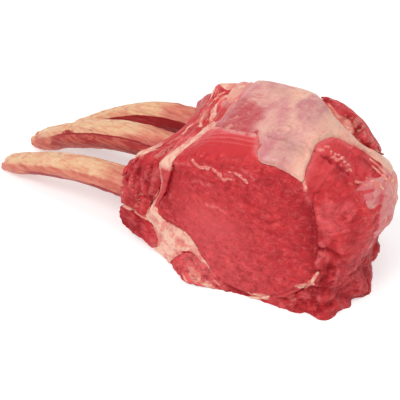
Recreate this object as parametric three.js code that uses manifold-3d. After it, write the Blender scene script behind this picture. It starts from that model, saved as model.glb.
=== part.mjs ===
// A frenched rack of veal: a thick piece of loin with three bare ribs, lying with the inside
// of the ribs down. X runs along the ribs, from the bone tips to the chine side. Y runs along
// the rack, from the near cut face to the far one. Z is up. All lengths are in millimetres.
//
// Every muscle and seam of fat is a section of the near cut face, run through the whole depth
// of the rack. Neighbours share their boundaries, so the pieces fit with an even gap.

import * as THREE from 'three';
import { mergeVertices } from 'three/addons/utils/BufferGeometryUtils.js';
import Module from 'manifold-3d';

const wasm = await Module();
wasm.setup();

const { lerp, smoothstep } = THREE.MathUtils;

// ---- Driving dimensions ----

const RACK_DEPTH = 104;        // near cut face to far cut face, on the table
const FACE_MIDDLE = 17;        // x where both cut faces stand out most
const NEAR_LEAN = 0.2;         // how far the near face leans back for each millimetre of height
const FAR_LEAN = 0.05;         // the same for the far face
const NEAR_BOW = 0.0006;       // bow of the near face on the bone side of its middle
const CHINE_BOW = 0.00255;     // bow of the near face on the chine side of its middle
const FAR_BOW = 0.0006;        // bow of the far face

const RIM_RISE = 0.035;        // the outline grows by this share just behind the near rim
const RIM_LENGTH = 0.04;       // and does so over this share of the depth
const BACK_RISE = 0.06;        // it grows by this share again towards the back
const BACK_TOP = 0.8;          // where it is highest, as a share of the depth
const FAR_DROP = 0.2;          // share of the height lost in the rounding to the far face

const NEAR_CHINE_ROUND = { loss: 8, end: 0.3, from: 70, to: 101 };
const FAR_CHINE_ROUND = { loss: 18, start: 0.5, from: 40, to: 101 };
const FAR_BONE_ROUND = { loss: 3, start: 0.85, from: -51, to: 0 };
const FAR_TOP_ROUND_START = 0.74;
const BONE_WAIST = { depth: 12, from: -51, to: 20 };
const BONE_SIDE_LIFT = { height: 6.5, from: -32, to: 15 };

// Swells and hollows of the outside: where they are, how wide, how high, and at what height
// above the table they are full.
const EYE_SWELL = { middle: 8, reach: 26, height: 6, fullAt: 70 };
const SHOULDER = { middle: -24, reach: 20, height: 8.5, fullAt: 60 };
const STRIP_HOLLOW = { middle: 74, reach: 22, height: 6, fullAt: 70 };
const UNDER_BULGE = { middle: 8, reach: 24, depth: 4, fade: 13 };

const GAP = 0.3;               // space between neighbouring pieces
const STEP = 5.5;              // spacing of the points along a boundary
const LEVELS = [0, 0.03, 0.09, 0.2, 0.34, 0.48, 0.62, 0.75, 0.85, 0.93, 0.97, 1];
const EYE_FACE_RINGS = 4;      // rings of points on the bowed faces of the eye muscle

const RIB_COUNT = 3;
const END_RING = 1;            // distance from a rib's ends to its first and last rings
const END_BULGE = 0.5;         // how far the middles of those rings stand out
const RIB = {
  tipX: [-171, -173, -161], exitX: -57, endX: -26,
  tipY: [13, 46.5, 68], exitY: [20, 52.5, 84],
  tipZ: [2, 2.6, 2.4], exitZ: [29.5, 40, 42.8],
  halfWidth: [11.2, 12.6, 11.5], halfThickness: [8.4, 10.3, 10.4],
  arch: [0.97, 1.05, 1.12], slimming: 0.18, tipLength: 20, innerLength: 8,
  sides: 12, rings: 20,
};

const COVER = { from: 0.03, to: 0.68, end: 0.96, lift: 0.8, thickness: 1.55, edge: 0.7 };
const STRIP = { from: 0.3, to: 0.62, end: 0.96, lift: 0.65, thickness: 2.4, edge: 0.7 };

// ---- The near section: the boundaries between the pieces, as [x, z] ----

// Corners that several boundaries share.
const FLAP_TOE = [-47, 8.3];
const FLAP_TOP = [-51, 21];
const FLAP_HEEL = [-22, 3.6];
const SEAM_FOOT = [-29, 21.5];
const TAIL_LOW = [-50.5, 40];
const TAIL_HIGH = [-41, 54];
const NOTCH_LOW = [-23, 60];
const NOTCH_HIGH = [-13, 65];
const CROWN = [70, 72.3];
const CHINE_CORNER = [96, 0];
const VEIN_TOP = [81, 29];
const VEIN_HEEL = [51, 0];
const VEIN_FOOT = [46, 0];
const UNDER_TIP = [37, 0];
const TABLE_START = [16, 0];
const PATCH_END = [-7, 0.8];
const EYE_HEEL = [24, 10.5];

const BOUNDARIES = {
  flapUnder: [FLAP_TOE, [-36, 5.6], FLAP_HEEL],
  flapSide: [FLAP_TOP, [-51, 13], FLAP_TOE],
  flapTop: [FLAP_TOP, [-43, 22], [-35, 21.5], SEAM_FOOT],
  patchLeft: [FLAP_HEEL, [-17, 8], [-18.5, 15], [-24, 20], SEAM_FOOT],
  patchUnder: [FLAP_HEEL, [-14, 2], PATCH_END],
  patchRight: [PATCH_END, [-4, 5.5], [2.5, 12.5], [8, 14.8], [15, 13], EYE_HEEL],
  seamLeft: [SEAM_FOOT, [-25, 33], [-20.5, 43], [-19.5, 51], NOTCH_LOW],
  capSide: [TAIL_LOW, [-52, 31], FLAP_TOP],
  capTop: [NOTCH_LOW, [-32, 57.5], TAIL_HIGH],
  tailInner: [TAIL_LOW, [-47, 45.5], [-44.5, 50], TAIL_HIGH],
  tailOuter: [TAIL_HIGH, [-46.5, 52], [-49.8, 47], TAIL_LOW],
  notch: [NOTCH_HIGH, [-18, 63.5], NOTCH_LOW],
  eyeLeft: [
    NOTCH_HIGH, [-14, 56], [-16.5, 43], [-20.5, 32], [-16, 26.5], [-4, 26],
    [5, 24.5], [13, 17.5], EYE_HEEL,
  ],
  eyeUnder: [EYE_HEEL, [31, 6.2], UNDER_TIP],
  eyeTable: [UNDER_TIP, VEIN_FOOT],
  eyeRight: [VEIN_TOP, [80, 43], [76.5, 54], [73, 63], CROWN],
  eyeTop: [CROWN, [62, 77], [50, 81.3], [36, 80.2], [18, 76.5], [2, 72.5], NOTCH_HIGH],
  veinUpper: [VEIN_FOOT, [54, 3.8], [64, 9], [74, 18], VEIN_TOP],
  veinLower: [VEIN_HEEL, [57, 2.6], [66, 7.4], [77, 17.5], VEIN_TOP],
  veinTable: [VEIN_FOOT, VEIN_HEEL],
  underLeft: [PATCH_END, [4, 0.2], TABLE_START],
  underTable: [TABLE_START, UNDER_TIP],
  chineTable: [VEIN_HEEL, CHINE_CORNER],
  chineSide: [
    CHINE_CORNER, [96.5, 5], [93, 13], [93.5, 22], [97.5, 33], [98.5, 44],
    [95.5, 54], [87.5, 62], [79, 67.5], CROWN,
  ],
};

// The boundaries round each piece, anticlockwise. A minus sign runs one backwards.
const PIECES = {
  eye_muscle: ['eyeLeft', 'eyeUnder', 'eyeTable', 'veinUpper', 'eyeRight', 'eyeTop'],
  cap_muscle: ['flapTop', 'seamLeft', 'capTop', '-tailInner', 'capSide'],
  chine_muscle: ['chineTable', 'chineSide', '-eyeRight', '-veinLower'],
  flap_muscle: ['flapUnder', 'patchLeft', '-flapTop', 'flapSide'],
  under_meat: ['underLeft', 'underTable', '-eyeUnder', '-patchRight'],
  seam_fat: ['patchUnder', 'patchRight', '-eyeLeft', 'notch', '-seamLeft', '-patchLeft'],
  tail_fat: ['tailInner', 'tailOuter'],
  chine_seam: ['veinTable', 'veinLower', '-veinUpper'],
};

// The pieces that the ribs go into.
const HOLD_RIBS = ['cap_muscle', 'flap_muscle', 'seam_fat', 'tail_fat'];

// ---- Materials ----

const MUSCLE = { color: 0xbf333a, roughness: 0.42 };
const DARK_MUSCLE = { color: 0x8f222b, roughness: 0.42 };
const FAT = { color: 0xe8c6b6, roughness: 0.5 };
const SILVERSKIN = { color: 0xd89c9d, roughness: 0.38 };
const BONE = { color: 0xd9a880, roughness: 0.55 };

function materialOf({ color, roughness }) {
  return new THREE.MeshStandardMaterial({ color, roughness, metalness: 0 });
}

// ---- The form of the whole rack ----

function nearFace(x, z) {
  const bow = x < FACE_MIDDLE ? NEAR_BOW : CHINE_BOW;
  const { middle, reach, depth, fade } = UNDER_BULGE;
  const bulge = depth * Math.exp(-(((x - middle) / reach) ** 2) - (z / fade) ** 2);
  return NEAR_LEAN * z + bow * (x - FACE_MIDDLE) ** 2 - bulge;
}

function farFace(x, z) {
  return RACK_DEPTH - FAR_LEAN * z - FAR_BOW * (x - FACE_MIDDLE) ** 2;
}

// 0 up to the start, then the drop of a quarter circle, which is 1 at the far face.
function quarterRound(along, start) {
  const share = Math.max(0, (along - start) / (1 - start));
  return 1 - Math.sqrt(1 - share * share);
}

function heightFactor(along) {
  const rim = RIM_RISE * (1 - Math.exp(-along / RIM_LENGTH));
  const back = BACK_RISE * Math.sin(along / BACK_TOP * Math.PI / 2);
  return 1 + rim + back - FAR_DROP * quarterRound(along, FAR_TOP_ROUND_START);
}

// How far the sides draw in, towards the two cut faces and at the waist of the bone side.
function sideways(x, along) {
  const nearChine = NEAR_CHINE_ROUND;
  const farChine = FAR_CHINE_ROUND;
  const farBone = FAR_BONE_ROUND;
  const near = nearChine.loss * Math.max(0, 1 - along / nearChine.end) ** 2;
  const far = farChine.loss * quarterRound(along, farChine.start);
  const bone = farBone.loss * quarterRound(along, farBone.start);
  const waist = BONE_WAIST.depth * Math.sin(Math.PI * along);
  return bone * (1 - smoothstep(x, farBone.from, farBone.to))
    + waist * (1 - smoothstep(x, BONE_WAIST.from, BONE_WAIST.to))
    - near * smoothstep(x, nearChine.from, nearChine.to)
    - far * smoothstep(x, farChine.from, farChine.to);
}

function swell({ middle, reach, height, fullAt }, x, z) {
  return height * Math.exp(-(((x - middle) / reach) ** 2)) * Math.min(1, z / fullAt);
}

function lift(x, z, along) {
  const { height, from, to } = BONE_SIDE_LIFT;
  const boneSide = height * (1 - smoothstep(x, from, to));
  const late = smoothstep(along, 0.4, 0.9);
  return along * (boneSide + swell(EYE_SWELL, x, z))
    + late * (swell(SHOULDER, x, z) - swell(STRIP_HOLLOW, x, z));
}

// Takes a point of the near section to its place at a share of the rack's depth.
function place(x, z, along) {
  const deep = lerp(nearFace(x, z), farFace(x, z), along);
  return new THREE.Vector3(x + sideways(x, along), deep, z * heightFactor(along) + lift(x, z, along));
}

// ---- Sections ----

function sampled(points) {
  const curve = new THREE.SplineCurve(points.map(([x, z]) => new THREE.Vector2(x, z)));
  return curve.getSpacedPoints(Math.max(2, Math.round(curve.getLength() / STEP)));
}

const EDGES = Object.fromEntries(
  Object.entries(BOUNDARIES).map(([name, points]) => [name, sampled(points)]),
);

function edge(name) {
  return name.startsWith('-') ? [...EDGES[name.slice(1)]].reverse() : EDGES[name];
}

function loopOf(names) {
  return names.flatMap((name) => edge(name).slice(0, -1));
}

// Moves an anticlockwise loop inwards. Points on the table stay on it.
function inset(loop, distance) {
  const sharpest = 0.45;
  return loop.map((point, i) => {
    const before = loop[(i + loop.length - 1) % loop.length];
    const after = loop[(i + 1) % loop.length];
    const one = point.clone().sub(before).normalize();
    const two = after.clone().sub(point).normalize();
    const inward = new THREE.Vector2(-one.y - two.y, one.x + two.x).normalize();
    const slant = Math.max(sharpest, inward.dot(new THREE.Vector2(-one.y, one.x)));
    const moved = point.clone().addScaledVector(inward, distance / slant);
    return point.y === 0 ? moved.setY(0) : moved;
  });
}

// ---- Solids ----

function solid(points, triangles) {
  const geometry = new THREE.BufferGeometry();
  const numbers = points.flatMap((p) => [p.x, p.y, p.z]);
  geometry.setAttribute('position', new THREE.Float32BufferAttribute(numbers, 3));
  geometry.setIndex(triangles.flat());
  return geometry;
}

function flipped([a, b, c]) {
  return [a, c, b];
}

// The triangles between two rings of count points each.
function band(first, second, count) {
  const faces = [];
  for (let i = 0; i < count; i += 1) {
    const next = (i + 1) % count;
    faces.push([first + i, first + next, second + next]);
    faces.push([first + i, second + next, second + i]);
  }
  return faces;
}

// The triangles from a ring to a single point.
function fan(first, count, tip) {
  const faces = [];
  for (let i = 0; i < count; i += 1) faces.push([first + i, first + ((i + 1) % count), tip]);
  return faces;
}

// Closes an end with smaller and smaller rings round the middle of the loop.
function ringCap(points, loop, along, start) {
  const middle = loop.reduce((sum, p) => sum.add(p), new THREE.Vector2()).divideScalar(loop.length);
  const faces = [];
  let outer = start;
  for (let ring = 1; ring < EYE_FACE_RINGS; ring += 1) {
    const inner = points.length;
    for (const p of loop) {
      const q = p.clone().lerp(middle, ring / EYE_FACE_RINGS);
      points.push(place(q.x, q.y, along));
    }
    faces.push(...band(outer, inner, loop.length));
    outer = inner;
  }
  points.push(place(middle.x, middle.y, along));
  faces.push(...fan(outer, loop.length, points.length - 1));
  return faces;
}

function flatCap(points, loop, along, start) {
  return THREE.ShapeUtils.triangulateShape(loop, []).map((face) => face.map((i) => start + i));
}

// Runs a section through the rack, from the near cut face to the far one.
function through(loop, cap) {
  const points = LEVELS.flatMap((along) => loop.map((p) => place(p.x, p.y, along)));
  const faces = [];
  for (let level = 1; level < LEVELS.length; level += 1) {
    faces.push(...band((level - 1) * loop.length, level * loop.length, loop.length).map(flipped));
  }
  const lastRing = (LEVELS.length - 1) * loop.length;
  faces.push(...cap(points, loop, 0, 0));
  faces.push(...cap(points, loop, 1, lastRing).map(flipped));
  return solid(points, faces);
}

// ---- Cutting one solid by another ----

function toManifold(geometry) {
  const merged = mergeVertices(geometry, 1e-4);
  const vertProperties = new Float32Array(merged.attributes.position.array);
  const triVerts = new Uint32Array(merged.index.array);
  return new wasm.Manifold(new wasm.Mesh({ numProp: 3, vertProperties, triVerts }));
}

function cut(geometry, tool) {
  const mesh = toManifold(geometry).subtract(toManifold(tool)).getMesh();
  const result = new THREE.BufferGeometry();
  result.setAttribute('position', new THREE.BufferAttribute(mesh.vertProperties, 3));
  result.setIndex(new THREE.BufferAttribute(mesh.triVerts, 1));
  return result;
}

// ---- Ribs ----

function ribCentre(index, x) {
  const share = (x - RIB.tipX[index]) / (RIB.exitX - RIB.tipX[index]);
  const y = lerp(RIB.tipY[index], RIB.exitY[index], share);
  const rise = Math.sin(share * Math.PI / 2) ** RIB.arch[index];
  const z = lerp(RIB.tipZ[index], RIB.exitZ[index], rise);
  return new THREE.Vector3(x, y, z);
}

// The share of its full section that a rib has at x: it is rounded off at both ends.
function ribFullness(index, x) {
  const tip = Math.sqrt(Math.min(1, (x - RIB.tipX[index]) / RIB.tipLength));
  const inner = Math.sqrt(Math.min(1, (RIB.endX - x) / RIB.innerLength));
  const slim = 1 - RIB.slimming * (1 - smoothstep(x, RIB.tipX[index], RIB.exitX));
  return tip * inner * slim;
}

function ribRing(index, x, margin) {
  const centre = ribCentre(index, x);
  const tangent = ribCentre(index, x + 1).sub(centre).normalize();
  const side = new THREE.Vector3(0, 1, 0);
  const up = new THREE.Vector3().crossVectors(tangent, side).normalize();
  const wide = RIB.halfWidth[index] * ribFullness(index, x) + margin;
  const thick = RIB.halfThickness[index] * ribFullness(index, x) + margin;
  return Array.from({ length: RIB.sides }, (_, i) => {
    const angle = i / RIB.sides * Math.PI * 2;
    const across = side.clone().multiplyScalar(wide * Math.cos(angle));
    return centre.clone().add(across).addScaledVector(up, thick * Math.sin(angle));
  });
}

// A bowed bone of oval section. A margin makes it thicker all round, to cut its channel.
function ribSolid(index, margin) {
  const first = RIB.tipX[index] + END_RING;
  const last = RIB.endX - END_RING;
  const points = [];
  const faces = [];
  for (let ring = 0; ring <= RIB.rings; ring += 1) {
    const share = (1 - Math.cos(Math.PI * ring / RIB.rings)) / 2;
    points.push(...ribRing(index, lerp(first, last, share), margin));
    if (ring > 0) faces.push(...band((ring - 1) * RIB.sides, ring * RIB.sides, RIB.sides));
  }
  points.push(ribCentre(index, first - margin - END_BULGE));
  points.push(ribCentre(index, last + margin + END_BULGE));
  faces.push(...fan(0, RIB.sides, points.length - 2).map(flipped));
  faces.push(...fan(RIB.rings * RIB.sides, RIB.sides, points.length - 1));
  return solid(points, faces);
}

// ---- The layers on the outside of the loin ----

const OUTSIDE = new THREE.SplineCurve([...edge('-eyeTop'), ...edge('-chineSide').slice(1)]);

function outside(share, along) {
  const p = OUTSIDE.getPointAt(share);
  return place(p.x, p.y, along);
}

function outward(share, along) {
  const nudge = 0.004;
  const across = outside(share + nudge, along).sub(outside(share - nudge, along));
  const ahead = outside(share, Math.min(1, along + nudge));
  const behind = outside(share, Math.max(0, along - nudge));
  return across.cross(ahead.sub(behind)).normalize();
}

// A closed sheet between a lower and an upper grid of points.
function sheet(low, high, columns, rows) {
  const count = low.length;
  const at = (column, row) => column * (rows + 1) + row;
  const faces = [];
  for (let c = 0; c < columns; c += 1) {
    for (let r = 0; r < rows; r += 1) {
      const [a, b] = [at(c, r), at(c + 1, r)];
      const [d, e] = [at(c + 1, r + 1), at(c, r + 1)];
      faces.push([a, d, b], [a, e, d]);
      faces.push([count + a, count + b, count + d], [count + a, count + d, count + e]);
    }
  }
  const rim = [];
  for (let c = 0; c < columns; c += 1) rim.push(at(c, 0));
  for (let r = 0; r < rows; r += 1) rim.push(at(columns, r));
  for (let c = columns; c > 0; c -= 1) rim.push(at(c, rows));
  for (let r = rows; r > 0; r -= 1) rim.push(at(0, r));
  rim.forEach((a, i) => {
    const b = rim[(i + 1) % rim.length];
    faces.push([a, b, count + b], [a, count + b, count + a]);
  });
  return solid([...low, ...high], faces);
}

// Lays a layer on the outside, between two shares of it. nearEdge says where it starts along
// the rack, lean how far its columns slant, and rim how wide its thin edges are. Its rows
// stand closer together towards the near edge.
function overlay(layer, { columns, rows, rim, nearEdge, farEdge, lean }) {
  const crowding = 1.3;
  const { from, to, lift: rise, thickness, edge: thin } = layer;
  const low = [];
  const high = [];
  for (let c = 0; c <= columns; c += 1) {
    const base = lerp(from, to, c / columns);
    for (let r = 0; r <= rows; r += 1) {
      const along = lerp(nearEdge(base), farEdge(base), (r / rows) ** crowding);
      const share = base + lean(base, along);
      const fromSide = Math.min(c, columns - c) / columns / rim;
      const fromEnd = Math.min(r, rows - r) / rows / rim;
      const thick = lerp(thin, thickness, Math.sqrt(Math.min(1, fromSide, fromEnd)));
      const foot = outside(share, along);
      const out = outward(share, along);
      low.push(foot.clone().addScaledVector(out, rise));
      high.push(foot.clone().addScaledVector(out, rise + thick));
    }
  }
  return sheet(low, high, columns, rows);
}

// The near edge of the fat cover: it stays back from the bare eye muscle, comes forward to the
// rim in a tongue, and is far back again behind the bare meat on the chine side.
function coverEdge(share) {
  const rim = 0.012;
  const bare = 0.26 * (1 - smoothstep(share, 0.235, 0.325)) + 0.08 * (1 - smoothstep(share, 0, 0.13));
  const steep = 0.33 * smoothstep(share, 0.397, 0.417) + 0.2 * smoothstep(share, 0.415, 0.445);
  return rim + bare + steep + 0.14 * smoothstep(share, 0.44, 0.56);
}

// The tongue leans towards the chine side as it comes forward.
function tongueLean(share, along) {
  return 0.06 * Math.exp(-(((share - 0.396) / 0.03) ** 2)) * Math.max(0, 1 - along / 0.35);
}

// The near edge of the leaf of meat over the far shoulder. It bows forward in the middle.
function stripEdge(share) {
  return 0.7 + 8.3 * (share - 0.46) ** 2;
}

function fatCover() {
  const space = 0.012;
  const farEdge = (share) => Math.min(COVER.end, stripEdge(share) - space);
  return overlay(COVER, { columns: 32, rows: 10, rim: 0.1, nearEdge: coverEdge, farEdge, lean: tongueLean });
}

function outerStrip() {
  const farEdge = () => STRIP.end;
  const lean = () => 0;
  return overlay(STRIP, { columns: 12, rows: 6, rim: 0.3, nearEdge: stripEdge, farEdge, lean });
}

// ---- The rack ----

const rack = new THREE.Group();

function add(name, geometry, look) {
  geometry.computeVertexNormals();
  const mesh = new THREE.Mesh(geometry, materialOf(look));
  mesh.name = name;
  rack.add(mesh);
}

function runThrough(name) {
  const cap = name === 'eye_muscle' ? ringCap : flatCap;
  let geometry = through(inset(loopOf(PIECES[name]), GAP / 2), cap);
  if (HOLD_RIBS.includes(name)) {
    for (let rib = 0; rib < RIB_COUNT; rib += 1) geometry = cut(geometry, ribSolid(rib, GAP));
  }
  return geometry;
}

for (const name of ['eye_muscle', 'cap_muscle', 'chine_muscle', 'under_meat']) {
  add(name, runThrough(name), MUSCLE);
}
add('flap_muscle', runThrough('flap_muscle'), DARK_MUSCLE);
for (const name of ['seam_fat', 'tail_fat', 'chine_seam']) add(name, runThrough(name), FAT);
add('fat_cover', fatCover(), SILVERSKIN);
add('outer_strip', outerStrip(), MUSCLE);
for (let rib = 0; rib < RIB_COUNT; rib += 1) add(`rib_${rib + 1}`, ribSolid(rib, 0), BONE);

// The origin is in the middle of the rack's box, on the table.
const box = new THREE.Box3().setFromObject(rack);
rack.position.set(-(box.min.x + box.max.x) / 2, -(box.min.y + box.max.y) / 2, -box.min.z);

export default rack;
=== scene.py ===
"""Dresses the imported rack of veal: fine meshes, raw meat, fat, silverskin and bone, and a studio."""

import math

import bmesh
import bpy
import numpy as np
from bpy.props import FloatProperty, FloatVectorProperty, PointerProperty
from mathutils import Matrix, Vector, kdtree
from mathutils.bvhtree import BVHTree


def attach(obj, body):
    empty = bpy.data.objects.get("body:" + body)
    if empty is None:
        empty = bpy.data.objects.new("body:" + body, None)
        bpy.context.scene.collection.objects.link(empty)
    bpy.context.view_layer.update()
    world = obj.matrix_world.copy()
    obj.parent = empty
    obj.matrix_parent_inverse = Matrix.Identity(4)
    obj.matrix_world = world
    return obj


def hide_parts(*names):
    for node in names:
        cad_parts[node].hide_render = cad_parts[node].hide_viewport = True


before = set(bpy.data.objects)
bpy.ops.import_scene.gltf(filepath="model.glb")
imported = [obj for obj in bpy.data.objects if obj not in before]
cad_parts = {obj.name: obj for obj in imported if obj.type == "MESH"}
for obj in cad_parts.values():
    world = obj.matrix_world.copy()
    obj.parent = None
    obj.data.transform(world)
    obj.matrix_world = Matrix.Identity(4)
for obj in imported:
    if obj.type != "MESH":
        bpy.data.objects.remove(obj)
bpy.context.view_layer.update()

bl_info = {
    "name": "Rack of Veal",
    "version": (1, 0, 0),
    "blender": (4, 5, 0),
    "location": "3D View > Sidebar > Rack of Veal",
    "description": "Builds a raw rack of veal on its frame",
    "category": "Add Mesh",
}

MM = 0.001

# ---- Where things are, in millimetres of the rack's sections ----
# X runs from the bones to the chine side, Y from the near cut face back, Z up.

SECTION_ORIGIN = np.array((37.15, -50.05, 0.0))  # in the frame

FACE_MIDDLE = 17
NEAR_LEAN = 0.2
NEAR_BOW = 0.0006
CHINE_BOW = 0.00255
RACK_DEPTH = 104
FAR_LEAN = 0.05
FAR_BOW = 0.0006
SECTION_CENTRE = np.array((20, 0, 34))

# Lines on the near face, as (x, z).
# The threads along the eye's rim: raised threads with highlights painted on them, where the cut face turns
# to the top.
RIM_GLINT_THREADS = (
    ((1, 71), (3, 69.5), (6, 68.5), (8, 69), (10, 70.5)),
    ((11, 69.5), (13, 71.5), (16, 70.5), (19, 69.5)),
    ((19, 69), (21, 67.5), (23, 67.5), (24, 69), (27, 68.5)),
    ((25, 73), (28, 73.5), (31, 73), (33, 71.5), (36, 70.5)),
)
FAINT_THREADS = (
    ((-11, 65), (-7, 66), (-3, 67.5), (0, 67.5)),
    ((31, 77), (35, 75.5), (39, 73.5)),
    ((3, 59), (7, 61), (11, 59.5), (15, 62)),
    ((22, 70.5), (26, 71), (28, 69.5)),
    ((14, 49), (20, 50), (26, 49)),
)
EYE_CREASE = ((-13, 62), (-13.5, 55), (-14.5, 49), (-16, 42))
EYE_HEEL_CREASE = ((-17, 27), (-8, 26), (0, 25.5), (7, 22.5), (13, 16.5), (19, 12))
# The band on the eye's face under the cover's rim, painted dark: painted shade.
DARK_RIM = ((43, 78.5), (48, 78), (53, 76.5), (58, 73.5), (62, 69.5), (65, 64))

# Lines on the top and the sides, as (x, y, z).
# The glints on the chine window: highlights painted on small raised threads.
GLINTS = (
    ((60, 45.5, 83.5), (61.5, 47.5, 83)),
    ((62, 50, 83), (62.6, 52, 83)),
    ((64.5, 50.5, 81), (65.5, 48.5, 80.5)),
    ((66, 47, 80), (67, 49.5, 79)),
    ((66.5, 51.5, 79.5), (68, 53, 79)),
    ((69, 49, 78), (70, 51.5, 78), (71, 54, 77.5)),
    ((71.5, 49.5, 76.5), (72.5, 53, 76.5)),
    ((74, 50.5, 75), (74.6, 53, 75)),
    ((75.5, 49.5, 74), (76.5, 51.5, 74)),
    ((83, 48.5, 70), (84, 51, 69)),
    ((85.5, 51, 68), (86.5, 52.5, 67)),
)
WINDOW_CREASE = (
    (59, 43, 84), (61, 45, 83), (64, 44, 81), (66, 46, 80), (69, 45.5, 78),
    (72, 47.5, 76), (76, 47, 74), (79, 49, 72), (83, 47.5, 69), (86, 48.5, 67),
)
WINDOW_EDGE = (
    (60, 38, 84), (62, 41, 82), (67, 41, 79), (71, 44, 77), (74, 45, 75), (78, 45, 72),
    (82, 44, 70), (85, 42, 67), (89, 37, 61), (93, 38, 57), (96, 40, 53),
)
SINEWS = (
    ((80, 71, 70), (84, 72, 68), (88, 71.5, 66), (92, 73, 62), (94, 77, 58)),
    ((84, 67, 69), (88, 68, 66), (91, 69, 63), (93, 72, 59)),
    ((84, 56, 68), (88, 58, 66), (91, 61, 62)),
)
TIP_SEAM = ((61, 25, 81), (63, 24, 78), (65.5, 22.5, 76), (67.5, 21, 72), (69.5, 20, 68))
CAP_STREAKS = (
    (
        (-26, 42, 62), (-28, 50, 62), (-28, 58, 63), (-30, 64, 64),
        (-29, 70, 67), (-27, 74, 70), (-21, 79, 76),
    ),
    ((-20, 50, 68), (-23, 56, 67), (-25, 61, 66)),
    ((-31, 60, 61), (-33, 68, 64), (-32, 76, 67), (-28, 83, 72)),
)
SHOULDER_SWELLS = (  # place, height
    ((-41, 21, 57), 2.4),
    ((-46, 88, 54), 3.5),
    ((-28, 86, 73), 3.6),
    ((-37, 83, 66), -0.8),
    ((-15, 89, 81), -1.4),
)
FAT_PATCH = (
    (-8, 46, 73), (-13, 54, 71), (-17, 60, 70), (-19, 65, 71), (-20, 69, 72),
    (-18, 75, 75), (-15, 79, 79), (-12, 85, 81),
)
COVER_FOLDS = (
    ((33, 37, 88), (37, 36, 88), (42, 36, 89), (48, 36, 89), (52, 36, 88), (57, 37, 87)),
    ((50, 32, 88), (53, 33.5, 88), (57, 34, 87)),
)
COVER_BAND = ((-19, 43, 66), (-11, 44, 71), (0, 42, 78), (8, 40, 81), (15, 39, 83), (24, 38, 85))

# More lines on the near face, as (x, z): the vein, the foot, the cap and the chine side.
VEIN = ((73.5, 17.3), (76.5, 19.2), (79.3, 21.5))
VEIN_HOOK = ((78.8, 21), (79.8, 23.5), (80.8, 27.8))
BOTTOM_FAT = ((47, 3.5), (51, 4), (55, 5), (58, 5))
BOTTOM_CREASE = ((33, 4), (38, 3), (42, 2.5), (46, 2))
CAP_LUMPS = (
    ((-30, 46), (-31, 51)),
    ((-42, 39), (-43.5, 45)),
    ((-37, 32), (-36, 36.5)),
    ((-26, 40), (-25, 46)),
    ((-33.5, 40), (-34.5, 45)),
    ((-22.5, 33), (-21, 39)),
    ((-24.5, 49), (-23, 55)),
)
CAP_CREASES = (
    ((-28.5, 37), (-30, 45), (-28, 55)),
    ((-35, 30), (-36, 38)),
    ((-40, 37), (-39, 46), (-36, 53)),
    ((-25, 31), (-27, 38)),
    ((-46, 40), (-44, 48)),
)
CURLS = (
    ((79, 33), (80, 37), (82, 39), (84, 37), (84, 33)),
    ((90, 36), (91, 31), (91, 25)),
    ((79, 47), (81, 43), (80, 39)),
    ((81, 21), (83, 19.5), (84.5, 16), (84, 12)),
)
CHINE_CREASES = (
    ((78, 43), (82, 43), (85, 41.5), (89, 39.5)),
    ((79, 18), (82, 14), (84, 10), (86, 6)),
    ((86, 33), (86, 27), (84, 22)),
    ((69, 13.5), (73, 15.2), (77, 17), (80.5, 19.5)),
)
RED_SPUR = ((2, 13), (6, 14.5), (10, 14), (14, 12))

ARC_SPACING = 3.6  # between the faint arcs under the skin
CURL_MIDDLE = (39, 43, 89)
FACE_DEPTH = (4.5, 1.5)  # the sides go over into a cut face between these depths
TURN_DEPTH = (7, 0)  # and the way out turns between these
SEAM_REACH = (1.8, 0.2)  # a seam closes as its neighbour comes this near
HEIGHT_SPARED = 0.8  # the share of the height over a line that doesn't count
RIM_SLOPE = 0.4  # how far the rim of a thin sheet may face outwards
WELD = 0.001  # corners of a solid nearer than this are one

# Each seam, its rounds of smoothing and how much coarser it is than the fine grain.
SEAMS = (("seam_fat", 4, 1.2), ("tail_fat", 3, 0.9), ("chine_seam", 2, 0.9))
# Each rib, and how far round the red membrane comes on it.
RIBS = (("rib_1", -0.9), ("rib_2", -0.06), ("rib_3", -0.2))
RIB_FACING = (0, 0.69, 0.72)  # the way their clean side faces

# ---- The studio, in metres and degrees ----

FLOOR_REACH = 6
FLOOR_GLOW = 0.45
SKY_STRENGTH = 0.48
LIGHTS = (  # name, place, size, power
    ("key", (-0.35, -0.9, 1.5), 0.9, 16),
    ("fill", (1.3, -0.7, 0.9), 1.2, 4),
    ("top", (0.1, 0.5, 1.7), 1.4, 9),
)
CAMERA_TURN, CAMERA_HEIGHT = 35, 38
CAMERA_TARGET = (0.03715, -0.02805, 0.038)
CAMERA_DISTANCE = 0.39216


# ---- Sizes and colours ----


def length(name, description, millimetres):
    """A length of the fine meshes."""
    return FloatProperty(name=name, description=description, default=millimetres * MM, unit="LENGTH")


def swatch(name, description, colour):
    """A colour of the rack, as it shows on a screen."""
    return FloatVectorProperty(
        name=name, description=description, subtype="COLOR_GAMMA", size=3, min=0, max=1, default=colour
    )


class RackSizes(bpy.types.PropertyGroup):
    """Sizes of the fine meshes and their relief."""

    grain: length("Mesh Grain", "Spacing of the mesh on the larger muscles", 0.72)
    fine_grain: length("Fine Mesh Grain", "Spacing of the mesh on thin layers, fat and bones", 0.6)
    swell: length("Swell", "How far each piece swells to meet its neighbours", 0.4)
    relief: FloatProperty(
        name="Relief", description="Depth of the relief, as a share of the usual", default=1.0, min=0, max=2
    )


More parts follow.
